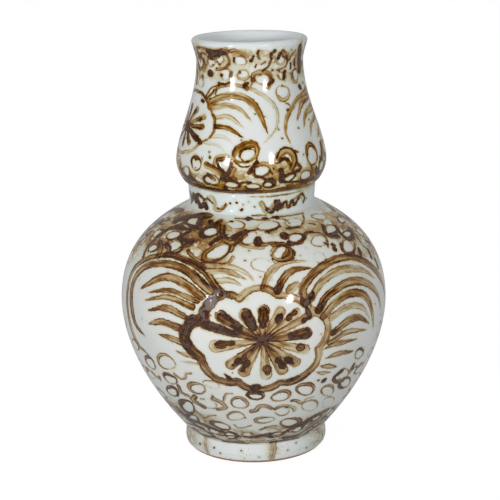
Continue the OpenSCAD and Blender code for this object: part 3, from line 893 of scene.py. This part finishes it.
# %% Washes: place, size and strength
WASHES = read("""
    -66,277 70,17 .72; -34,275 50,14 .52; 0,272 90,10 .44; 34,274 60,12 .48; 66,279 60,24 .68;
    -12,283 60,14 .32; 22,285 40,18 .36; 88,276 60,18 .65; -82,292 16,24 .35; 74,300 14,34 .35;
    -35,397 44,6 .4; -6,396 44,7 .26; 24,394 30,7 .2; 40,391 30,16 .2; 66,387 24,28 .4; -66,386 26,28 .36;
    -28,386 44,16 .12; 4,386 50,14 .1; -40,376 44,16 .1; 20,377 50,16 .1; 55,376 34,18 .15;
    88,384 50,30 .32; -88,384 40,30 .3; -58,238 80,18 .8; -34,236 50,20 .62; -44,226 80,22 .6;
    -66,222 60,30 .6; -14,232 44,20 .3; 8,236 60,14 .26; 30,234 50,18 .24; 52,232 60,24 .34;
    72,226 60,40 .45; -86,214 50,46 .42; 82,206 36,36 .4; -22,214 30,16 .36; 64,206 30,12 .3;
    -46,50 60,22 .55; -62,56 50,28 .45; -20,37 60,14 .42; 4,32 80,10 .36; 28,42 50,16 .48; 48,42 60,24 .55;
    86,50 60,34 .48; -86,54 60,34 .48; -30,26 120,8 .5; 40,26 120,8 .5; -84,28 90,8 .5; -45,14 12,14 .16;
    13,14 14,14 .16; 66,14 40,16 .22; -72,14 40,16 .22""")

print(len(NECK_RINGS + BULB_RINGS + SHOULDER_RINGS + LOW_RINGS), "rings and",
      len(SPECKS), "specks in half the vase")

# %% Paint both halves
for turned_by, loose in ((0.0, 0.0), (180.0, 1.2)):
    big_medallion()
    plumes()
    bulb_motifs()
    scattered()
    collar_and_foot()
    for place, size, strength in WASHES:
        wash(place, size, strength)
print(strokes, "strokes,", len(holes), "rings,", len(washes), "washes")

# %% Spread the washes and keep the white places white
EDGE, FADES = 1.5, 0.7          # how sharp the edge of a wash is, and how soon it fades


def apart(a, z):
    """How far each point is from a place on the glaze, in mm: round the vase and up the wall."""
    round_it = np.radians((degrees - a + 180) % 360 - 180) * radius_at(height)
    return round_it, (height - z) * steep_at(z)


stain = np.zeros(len(skin))
for a, z, wide, tall, strength in washes:
    x, y = apart(a, z)
    stain = np.maximum(stain, strength * np.exp(-((x / wide) ** 2 + (y / tall) ** 2) ** EDGE * FADES))
cell = np.full(len(skin), -FAR)
for a, z, wide, tall, tilt in holes:
    x, y = apart(a, z)
    c, s = math.cos(math.radians(tilt)), math.sin(math.radians(tilt))
    x, y = c * x + s * y, c * y - s * x
    wide, tall = max(wide, 1), max(tall, 1)
    cell = np.maximum(cell, (1 - np.hypot(x / wide, y / tall)) * min(wide, tall))

# %% Glaze gathers in the hollows of the section and thins on its ridges
BARE_BELOW, THIN_ABOVE = 8, 370         # mm up
EVENED = 2.0            # mm, over which the bend of the section is evened
GATHERS, THINNED = 7, 0.7       # glaze for a bend, and how much of it the mouth lacks
bend = np.gradient(np.unwrap(np.arctan2(facing[:, 1], facing[:, 0])), along)
hollow_of = soften(np.stack([bend, bend], 1), EVENED)[:, 0]
gather = np.clip(np.interp(height, wall[:LIP + 1, 1], hollow_of[:LIP + 1]) * GATHERS, 0, 1)
gather *= (height > BARE_BELOW) * (1 - THINNED * (height > THIN_ABOVE))
print("washed share", (stain > 0.15).mean().round(2), "most gathered", gather.max().round(2))

# %% Write the numbers on the pieces
every, start = len(painted), 0
values_of = {"wash": (stain, 0.0), "gather": (gather, 0.0), "cell": (cell, -FAR)}
for coat in range(COATS):
    values_of[f"stroke_{coat}"] = (np.stack([inset[coat], across[coat], run_of[coat]], 1), [-FAR, 0, 0])
    values_of[f"load_{coat}"] = (load_of[coat], 0.0)
for piece, co in made.values():
    for name, (values, empty) in values_of.items():
        full = np.full((every,) + values.shape[1:], empty, np.float32)
        full[spot] = values
        kind, field = ("FLOAT_VECTOR", "vector") if values.ndim > 1 else ("FLOAT", "value")
        layer = piece.data.attributes.new(name, kind, "POINT")
        layer.data.foreach_set(field, full[start:start + len(co)].ravel())
    start += len(co)
print(len(values_of), "attributes on", len(made), "pieces")

# %% [markdown]
# ## Glaze and pigment
# Iron under a clear glaze is amber where it is thin, dark brown where it gathers and
# a dull purple-brown where it lies thick. One ramp holds those colours, from no
# pigment to the most. Each coat adds to the amount, so crossing strokes darken as
# they do in the kiln. Maths on sockets is long to build by hand, so a small class
# wraps a socket and lets Python's own operators add the nodes.

# %% Sums with sockets
class Reading:
    """A number that varies over the surface."""

    def __init__(self, mix, socket):
        self.mix, self.socket = mix, socket

    def sum_with(self, operation, other=0.0, swap=False):
        pair = (other, self) if swap else (self, other)
        return self.mix.node("ShaderNodeMath", {0: pair[0], 1: pair[1]}, operation=operation)

    def __add__(self, other):
        return self.sum_with("ADD", other)

    def __sub__(self, other):
        return self.sum_with("SUBTRACT", other)

    def __mul__(self, other):
        return self.sum_with("MULTIPLY", other)

    def __truediv__(self, other):
        return self.sum_with("DIVIDE", other)

    def __rsub__(self, other):
        return self.sum_with("SUBTRACT", other, True)

    def __abs__(self):
        return self.sum_with("ABSOLUTE")

    __radd__, __rmul__ = __add__, __mul__

    def at_least(self, low):
        return self.sum_with("MAXIMUM", low)

    def at_most(self, high):
        return self.sum_with("MINIMUM", high)

    def rise(self, low, high):
        """0 below low, 1 above high and smooth between."""
        return self.mix.node("ShaderNodeMapRange", {0: self, 1: low, 2: high},
                             interpolation_type="SMOOTHSTEP")


class Mix:
    """A material's node tree with the few steps that the finishes here need."""

    def __init__(self, name):
        self.material = bpy.data.materials.new(name)
        self.material.use_nodes = True
        self.tree = self.material.node_tree
        self.body = self.tree.nodes["Principled BSDF"]
        self.output = self.tree.nodes["Material Output"]

    def node(self, kind, links=None, output=0, **settings):
        """Adds a node and reads one of its outputs."""
        return Reading(self, add_node(self.tree, kind, links, **settings).outputs[output])

    def attribute(self, name, output="Fac"):
        return self.node("ShaderNodeAttribute", None, output, attribute_name=name)

    def place(self):
        return self.node("ShaderNodeTexCoord", None, "Object")

    def vector(self, x, y, z):
        return self.node("ShaderNodeCombineXYZ", {0: x, 1: y, 2: z})

    def axes(self, vector):
        return [self.node("ShaderNodeSeparateXYZ", {0: vector}, k) for k in range(3)]

    def noise(self, vector, scale, detail=2.0):
        """Cloudy noise, 0 to 1, with about scale waves to a metre or to one of the vector's units."""
        return self.node("ShaderNodeTexNoise", {"Vector": vector, "Scale": scale, "Detail": detail})

    def flatten(self, vector, by):
        """The place with its heights times a number, so that patterns lie down round the vase."""
        return self.node("ShaderNodeVectorMath", {0: vector, 1: (1, 1, by)}, operation="MULTIPLY")

    def ramp(self, amount, stops):
        """A colour for an amount of 0 to 1, from stops of (amount, colour)."""
        colours = self.node("ShaderNodeValToRGB", {0: amount})
        elements = colours.socket.node.color_ramp.elements
        while len(elements) < len(stops):
            elements.new(0.5)
        for element, (at, colour) in zip(elements, stops):
            element.position, element.color = at, (*colour, 1)
        return colours

    def tint(self, a, b):
        """One colour through another, as light passes two stains."""
        return self.node("ShaderNodeMix", {"Factor": 1.0, 6: a, 7: b}, 2,
                         data_type="RGBA", blend_type="MULTIPLY")

    def blend(self, factor, a, b):
        return self.node("ShaderNodeMix", {"Factor": factor, 6: a, 7: b}, 2, data_type="RGBA")

    def finish(self, **sockets):
        for name, value in sockets.items():
            join(self.tree, self.body.inputs[name.replace("_", " ")], value)
        return self.material


# %% Colours, as light on the plain glaze and through the pigment
# The cool glaze is bluer, as the real glaze is at the lip, the foot and the upper bulb, and also lighter:
# that lightening is painted light.
GLAZE, GREEN_GLAZE, COOL_PAINTED_LIGHTER_GLAZE = (0.745, 0.75, 0.725), (0.67, 0.725, 0.69), (0.78, 0.83, 0.85)
CELADON, DEEP_CELADON = (0.735, 0.785, 0.79), (0.65, 0.735, 0.73)
POOLED, CLAY = (0.52, 0.63, 0.605), (0.47, 0.26, 0.13)
IRON = [
    (0.0, (1, 1, 1)), (0.09, (0.87, 0.835, 0.71)), (0.20, (0.70, 0.58, 0.37)),
    (0.33, (0.53, 0.345, 0.155)), (0.47, (0.33, 0.155, 0.045)), (0.60, (0.160, 0.055, 0.013)),
    (0.71, (0.048, 0.013, 0.003)), (0.80, (0.052, 0.016, 0.005)), (1.0, (0.130, 0.064, 0.042))]
IRON_FULL = 1.35        # the amount of pigment at the right end of the ramp

# %% How much pigment a stroke leaves
WAVER = 2.4             # mm, how far the edge of a stroke wavers
RIM = (0.5, 1.7)        # mm inside the edge between which the dark rim ends
RIM_DARK, RIM_IN_THICK = 1.15, 1.35     # how dark the rim is, and how much of that thick iron loses
STREAKS, HAIRS, BLOTCHES = 2.5, 1.3, 0.9        # broad and fine streaks and blotches of a stroke
BODY, THICKER = 0.50, 0.36      # pigment of a thin stroke, and what a thick one has more
HALO = 0.07             # the faint stain just outside a stroke
LEAST = 0.28            # the least share of its load that a stroke has anywhere


def coat_amount(mix, coat, wobble, blot, soft):
    """The pigment of one coat of strokes; soft weakens the rims, and pale strokes have softer edges."""
    deep, side, way = mix.axes(mix.attribute(f"stroke_{coat}", "Vector"))
    load = mix.attribute(f"load_{coat}")
    over = side / (deep.at_least(0.0) + abs(side) + 0.05)       # -1 to 1 across the stroke
    pale = (1 - load).at_least(0.0)
    edge = deep + wobble * WAVER
    broad = mix.noise(mix.vector(over * 1.5, way * 0.035, load * 3.0 + coat * 7.0), 1.0, 1.0) - 0.5
    hairs = mix.noise(mix.vector(side * 1.3, way * 0.08, load * 5.0 + coat * 3.0), 1.0, 2.0) - 0.5
    sway = mix.noise(mix.vector(way * 0.05, load * 4.0, coat * 5.0), 1.0, 1.0) - 0.5
    cover = ((edge + pale * 0.5 + 0.25) / (pale * 1.3 + 0.55)).rise(0.0, 1.0)
    one_sided = (over * sway * 5.0 + 0.6).at_least(0.12).at_most(1.3)
    rim = (1 - soft) * cover * (1 - edge.rise(*RIM)) * one_sided
    body = load * (broad * STREAKS + hairs * HAIRS + blot * BLOTCHES + load * load * THICKER + BODY
                   + rim * (RIM_DARK - load.rise(0.85, 1.05) * RIM_IN_THICK))
    return cover * body.at_least(load * LEAST) + edge.rise(-FAR, 0.3) * load * HALO


# %% How much pigment lies anywhere
SOFTER = (0.245, 0.285)         # metres up: from here on the dark rims are weaker
MIST = 0.04             # the even part of a wash
MOST, SLOWS = 1.75, 0.93        # crossing coats add up to less and less


def blots(mix, place, scale):
    """Patches with a dark edge, as thin pigment dries."""
    field = mix.noise(mix.flatten(place, 1.5), scale)
    edge = 1 - (abs(field - 0.5) * 13).at_most(1.0)
    return field.rise(0.46, 0.54) * 0.55 + edge * 0.60


def iron_amount(mix, place):
    """How much pigment lies here, from the washes and the coats of strokes."""
    wobble = mix.noise(place, 300, 2.5) - 0.5
    blot = mix.noise(place, 170, 3.0) - 0.5
    clear = 1 - (mix.attribute("cell") + wobble * 2.2).rise(-0.6, 0.7) * 0.92
    soft = mix.axes(place)[2].rise(*SOFTER) * 0.42
    patchy = blots(mix, place, 74) * 0.9 + blots(mix, place, 135) * 0.55 + MIST
    total = mix.attribute("wash") * clear * patchy
    for coat in range(COATS):
        total = total + coat_amount(mix, coat, wobble, blot, soft)
    return total * MOST / (total * SLOWS + 1.0) + blot * total.rise(0.9, 1.5) * 1.1


# %% The painted glaze
FOOT_RIM = (0.0044, 0.0052)     # metres up, the top of the bare clay edge
FOOT, LIP_Z = (0.022, 0.05), (0.385, 0.40)      # metres up, where the glaze is cooler, and painted lighter as well
THICK = (1.0, 1.3)      # amounts of pigment between which it turns matter
SMOOTH, MATTER, RAW = 0.085, 0.32, 0.6          # roughness of glaze, and what iron and clay add


def iron_glaze(name, colour, green, share):
    """Painted glaze: colour is the plain glaze and share is how much of the green shows."""
    mix = Mix(name)
    place = mix.place()
    up = mix.axes(place)[2]
    plain = mix.blend(mix.noise(place, 26).rise(0.35, 0.7) * share, colour, green)
    # Painted light in part: towards the lip and inside the mouth, the foot and the upper bulb, the glaze
    # turns bluer and is also painted lighter.
    cool_and_painted_lighter = (up.rise(*LIP_Z) + 1 - up.rise(*FOOT)) * 0.5 + up.rise(0.26, 0.32) * 0.28
    plain = mix.blend(cool_and_painted_lighter, plain, COOL_PAINTED_LIGHTER_GLAZE)
    plain = mix.blend(mix.attribute("gather").rise(0.12, 0.9) * 0.85, plain, POOLED)
    cells = mix.node("ShaderNodeTexVoronoi", {"Vector": place, "Scale": 90.0})
    specks = 1 - (cells - (mix.noise(place, 33, 0.0) - 0.56) * 0.28).rise(0.0, 0.02)
    grit = mix.noise(place, 700).rise(0.62, 0.70) * mix.noise(place, 120).rise(0.45, 0.65)
    amount = iron_amount(mix, place) + specks * 0.9 + grit * (1 - up.rise(0.016, 0.021)) * 0.5
    warm = (up.rise(0.02, 0.16) * 0.27 + up.rise(0.19, 0.24) * 0.10
            + up.rise(0.25, 0.29) * 0.07 - up.rise(0.33, 0.37) * 0.14 + 0.75)
    iron = mix.ramp(amount / IRON_FULL, IRON)
    iron = mix.node("ShaderNodeHueSaturation", {"Saturation": warm, "Color": iron})
    thick = amount.rise(*THICK)
    bare = 1 - (up + mix.noise(place, 180) * 0.0016).rise(*FOOT_RIM)
    throwing = mix.noise(mix.flatten(place, 3.2), 17, 1.0)
    relief = (throwing * 0.0011 + amount * 0.00009                      # metres
              + mix.noise(place, 330) * (thick * 0.00016 + 0.00003))
    bump = mix.node("ShaderNodeBump", {"Strength": 0.55, "Distance": 1.0, "Height": relief})
    return mix.finish(Base_Color=mix.blend(bare, mix.tint(plain, iron), CLAY), Normal=bump, IOR=1.42,
                      Roughness=SMOOTH + thick * MATTER + bare * RAW + mix.noise(place, 60) * 0.03)


painted_glaze = iron_glaze("painted clear glaze over iron", GLAZE, GREEN_GLAZE, 0.55)
celadon_glaze = iron_glaze("celadon glaze", CELADON, DEEP_CELADON, 0.8)
print("finishes:", painted_glaze.name, "and", celadon_glaze.name,
      len(painted_glaze.node_tree.nodes), "nodes each")

# %% Each piece gets its finish and takes its solids' place
STANDS_FOR = {
    "foot": ("glazed_foot", ["foot_ring"]),
    "bowl": ("glazed_bowl", ["lower_bowl", "slip_seam_foot", "slip_seam_belly"]),
    "shoulder": ("glazed_shoulder", ["lower_shoulder", "slip_seam_collar_foot"]),
    "collar": ("glazed_collar", ["waist_collar", "slip_seam_collar_top"]),
    "bulb": ("glazed_bulb", ["upper_bulb", "slip_seam_neck"]),
    "neck": ("glazed_neck", ["mouth_neck"])}
for name, (label, nodes) in STANDS_FOR.items():
    finish = celadon_glaze if name == "collar" else painted_glaze
    piece = made[name][0]
    piece.name = label
    piece.data.materials.clear()
    piece.data.materials.append(finish)
    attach(piece, "root")
    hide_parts(*nodes)
    "celadon_glaze" if name == "collar" else "painted_glaze"
print("pieces:", [label for label, nodes in STANDS_FOR.values()])

# %% [markdown]
# ## The table, the light and the camera
# The vase stands on a plain pale floor in soft studio light. Most of the light
# comes from all round, so that colours show as they are. Two lamps in front make
# the window-shaped gleams that show how glossy the glaze is.

# %% The floor
HALF_FLOOR = 14.0       # metres
GLOW = 1.30             # how brightly the floor glows
GLOW_SEEN, GLOW_MIRRORED = 0.72, 0.16   # the share of glow for the camera and in reflections


def flat_floor():
    """A pale floor that looks nearly white and still holds the vase's shadow."""
    mesh = bpy.data.meshes.new("floor")
    h = HALF_FLOOR
    mesh.from_pydata([(-h, -h, 0), (h, -h, 0), (h, h, 0), (-h, h, 0)], [], [(0, 1, 2, 3)])
    floor_piece = bpy.data.objects.new("floor", mesh)
    bpy.context.collection.objects.link(floor_piece)
    mix = Mix("pale floor")
    seen = mix.node("ShaderNodeLightPath", None, "Is Camera Ray")
    mirrored = mix.node("ShaderNodeLightPath", None, "Is Glossy Ray")
    white = mix.node("ShaderNodeEmission", {"Color": (1, 1, 1), "Strength": GLOW})
    mix.finish(Base_Color=(0.55, 0.55, 0.55), Roughness=0.9)
    both = mix.node("ShaderNodeMixShader", {
        0: seen * GLOW_SEEN + mirrored * GLOW_MIRRORED, 1: mix.body.outputs[0], 2: white})
    join(mix.tree, mix.output.inputs["Surface"], both)
    mesh.materials.append(mix.material)


flat_floor()

# %% The room
ALL_ROUND, FROM_BEHIND, FROM_ABOVE = 0.07, 0.41, 0.33   # how bright the room is


def light_room(tree):
    """Light from all round and more from behind, and plain white for the camera."""
    def node(kind, links=None):
        return add_node(tree, kind, links).outputs

    where = node("ShaderNodeTexCoord")["Generated"]
    way = node("ShaderNodeSeparateXYZ", {0: where})
    level = node("ShaderNodeMapRange", {
        0: way["Y"], 1: 0.0, 2: 1.0, 3: ALL_ROUND, 4: ALL_ROUND + FROM_BEHIND})[0]
    high = node("ShaderNodeMapRange", {0: way["Z"], 1: 0.05, 2: 1.0, 3: 0.0, 4: FROM_ABOVE})[0]
    level = node("ShaderNodeMath", {0: level, 1: high})[0]
    seen = node("ShaderNodeLightPath")["Is Camera Ray"]
    background = tree.nodes["Background"].inputs
    join(tree, background["Strength"], node("ShaderNodeMix", {0: seen, 2: level, 3: 1.0})[0])
    join(tree, background["Color"], (1, 1, 1))


world = bpy.data.worlds.new("studio")
world.use_nodes = True
bpy.context.scene.world = world
light_room(world.node_tree)
print("room:", ALL_ROUND, "all round and", FROM_BEHIND, "more from behind")

# %% Lamps
MIDDLE = Vector((0, 0, 0.23))
AWAY = 1.7              # metres from the front lamps to the vase


def lamp(name, azimuth, elevation, away, size, radiance):
    """A lamp that looks at the vase, azimuth degrees to the right of the front; sizes in metres."""
    data = bpy.data.lights.new(name, "AREA")
    data.shape, data.size, data.size_y = "RECTANGLE", *size
    data.energy = radiance * math.pi * size[0] * size[1]
    box_lamp = bpy.data.objects.new(name, data)
    a, e = math.radians(azimuth), math.radians(elevation)
    back = Vector((math.sin(a) * math.cos(e), -math.cos(a) * math.cos(e), math.sin(e)))
    box_lamp.location = MIDDLE + back * away
    box_lamp.rotation_euler = back.to_track_quat("Z", "Y").to_euler()
    bpy.context.collection.objects.link(box_lamp)


def soft_box(name, azimuth, elevation, size, share):
    """A lamp that gives this share of full light to a wall that faces it."""
    spread = size[0] * size[1] / AWAY ** 2
    lamp(name, azimuth, elevation, AWAY, size, share * math.pi / spread)


soft_box("right lamp", 30, 13, (0.085, 0.155), 0.335)
soft_box("left lamp", -36, 12, (0.18, 0.24), 0.465)
lamp("top lamp", 147, 75, 1.6, (0.10, 0.10), 30.0)

# %% Camera
EYE, PITCH, ROLL, LENS = Vector((-2.8, -1400, 561.7)) * MM, 14.61, 1.0, 106.24     # degrees; lens in mm
eye = bpy.data.cameras.new("camera")
eye.lens, eye.sensor_width = LENS, 36
eye.clip_start, eye.clip_end = 0.05, 60
camera = bpy.data.objects.new("camera", eye)
p, r = math.radians(PITCH), math.radians(ROLL)
right, up_way = Vector((1, 0, 0)), Vector((0, math.sin(p), math.cos(p)))
lean_right = right * math.cos(r) - up_way * math.sin(r)
lean_up = right * math.sin(r) + up_way * math.cos(r)
back = Vector((0, -math.cos(p), math.sin(p)))
turn = Matrix((lean_right, lean_up, back)).transposed()
camera.matrix_world = Matrix.Translation(EYE) @ turn.to_4x4()
bpy.context.collection.objects.link(camera)
bpy.context.scene.camera = camera
bpy.context.scene.view_settings.view_transform = "Standard"

# %% The end
bpy.context.view_layer.update()
